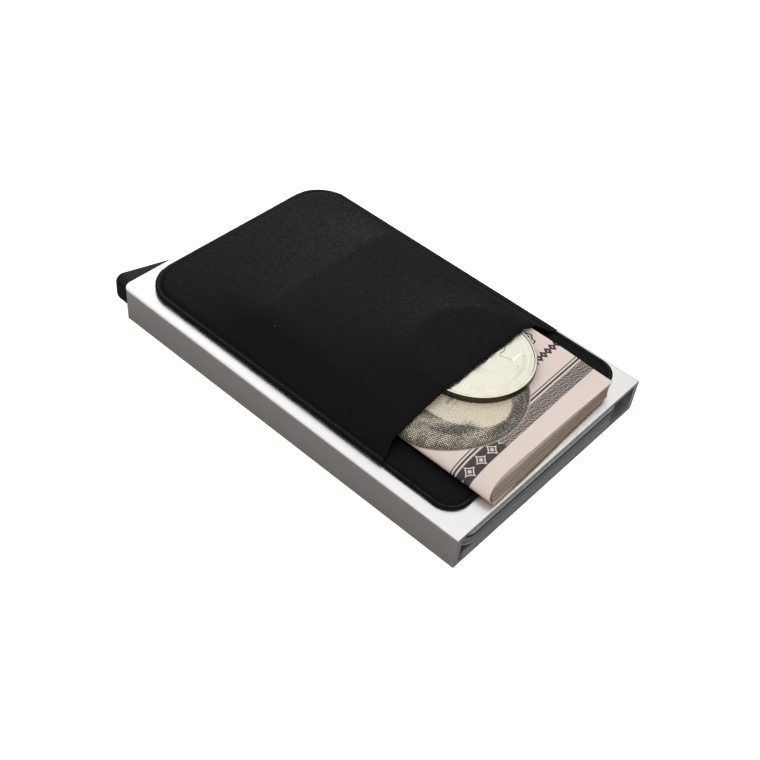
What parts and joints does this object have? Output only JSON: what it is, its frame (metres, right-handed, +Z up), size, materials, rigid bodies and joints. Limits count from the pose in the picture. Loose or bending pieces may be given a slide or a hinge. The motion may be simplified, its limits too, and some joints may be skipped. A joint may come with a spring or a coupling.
{
  "type": "pop-up card case wallet",
  "caption": "Slim aluminium card case whose corner lever fans the cards out of the mouth, with a stick-on stretch pocket that holds folded banknotes and a coin.",
  "frame": {"origin": "centre of the case's bottom face", "axes": "+X across the case, with the lever's pivot side at +X; +Y along the case, from the card mouth to the lever end; +Z up, out of the face that carries the pocket"},
  "size_m": [0.064, 0.1065, 0.0156],
  "materials": {
    "satin_aluminium": "satin, clear anodised",
    "black_plastic": "moulded, fine texture",
    "spring_steel": "bright",
    "black_screw_steel": "blackened",
    "felt": "short pile",
    "card_plastic": "laminated",
    "adhesive": "clear sheet",
    "black_leatherette": "fine grain, soft sheen",
    "banknote_paper": "engraved print",
    "coin_metal": "struck relief, polished"
  },
  "bodies": {
    "case": {"case_shell": "satin_aluminium", "end_frame": "black_plastic", "pivot_pin": "spring_steel", "return_spring": "spring_steel", "guide_rail": "black_plastic", "rail_screws": "black_screw_steel", "spring_plate": "spring_steel", "felt_pads": "felt", "adhesive_sheet": "adhesive", "pocket_backing": "black_leatherette", "pocket_front": "black_leatherette"},
    "lever": {"trigger_lever": "black_plastic"},
    "top_card": {"card_1": "card_plastic"},
    "second_card": {"card_2": "card_plastic"},
    "third_card": {"card_3": "card_plastic"},
    "bottom_card": {"card_4": "card_plastic"},
    "notes": {"banknote_outer": "banknote_paper", "banknote_middle": "banknote_paper", "banknote_inner": "banknote_paper"},
    "loose_coin": {"coin": "coin_metal"}
  },
  "joints": [
    {"name": "lever_press", "type": "hinge", "parent": "case", "child": "lever", "pos_m": [0.0255, 0.0444, 0.0045], "axis": [0, 0, 1], "range_deg": [0, 10], "stiffness_Nm_per_rad": 0.12, "springref_deg": -8.59, "deforming": ["return_spring"]},
    {"name": "top_card_slide", "type": "slide", "parent": "case", "child": "top_card", "axis": [0, -1, 0], "range_m": [0, 0.00831]},
    {"name": "second_card_slide", "type": "slide", "parent": "case", "child": "second_card", "axis": [0, -1, 0], "range_m": [0, 0.00648]},
    {"name": "third_card_slide", "type": "slide", "parent": "case", "child": "third_card", "axis": [0, -1, 0], "range_m": [0, 0.00464]},
    {"name": "bottom_card_slide", "type": "slide", "parent": "case", "child": "bottom_card", "axis": [0, -1, 0], "range_m": [0, 0.00281]},
    {"name": "notes_slide", "type": "slide", "parent": "case", "child": "notes", "axis": [0, -1, 0], "range_m": [0, 0.045]},
    {"name": "coin_slide", "type": "slide", "parent": "case", "child": "loose_coin", "axis": [0, -1, 0], "range_m": [0, 0.012]}
  ],
  "couplings": [
    {"joint": "top_card_slide", "follows": "lever_press", "m_per_rad": 0.0475},
    {"joint": "second_card_slide", "follows": "lever_press", "m_per_rad": 0.037},
    {"joint": "third_card_slide", "follows": "lever_press", "m_per_rad": 0.0265},
    {"joint": "bottom_card_slide", "follows": "lever_press", "m_per_rad": 0.016}
  ]
}
